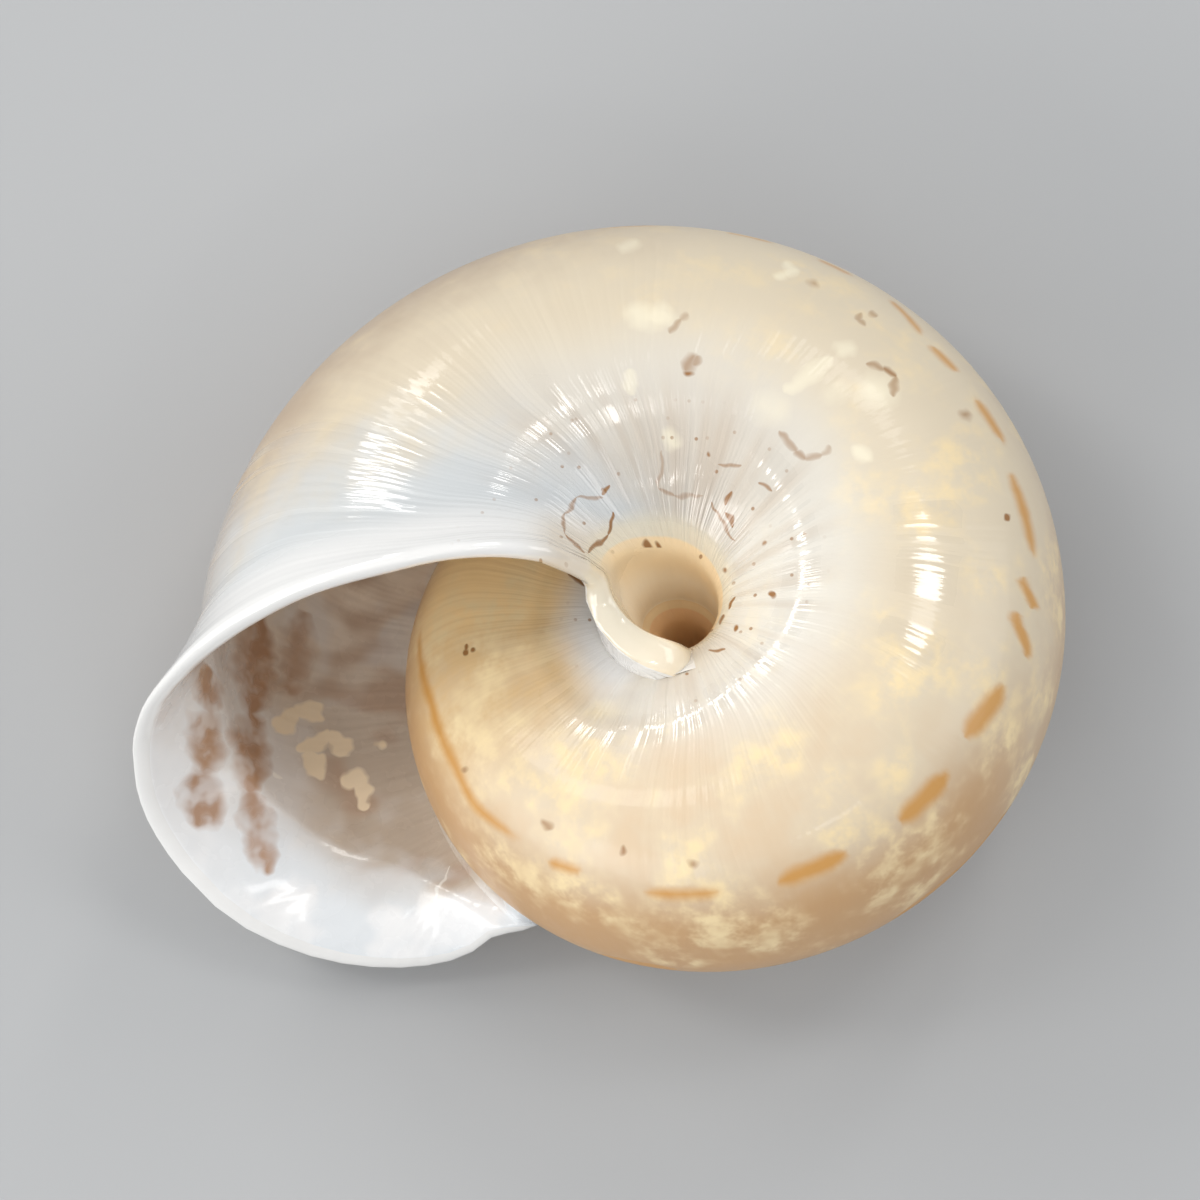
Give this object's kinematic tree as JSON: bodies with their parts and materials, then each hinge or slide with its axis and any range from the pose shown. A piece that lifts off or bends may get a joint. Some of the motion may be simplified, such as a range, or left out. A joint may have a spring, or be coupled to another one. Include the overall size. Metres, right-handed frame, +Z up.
{
  "type": "dry land snail shell",
  "caption": "Low, coiled land snail shell, pale ivory with orange-brown dashes, lying spire down with its round mouth and open navel facing up.",
  "frame": {"origin": "middle of the outline seen from above, at the level the shell rests on", "axes": "+X away from the mouth along the longest way across the shell, +Y away from the open front of the mouth, +Z up, from the spire towards the base and the navel"},
  "size_m": [0.0284, 0.0232, 0.0147],
  "materials": {
    "shell": "glossy, thin and slightly see-through ivory shell, porcelain white at the lip, with orange-brown dashes along its widest line"
  },
  "bodies": {
    "root": {"shell": "shell"}
  },
  "joints": []
}
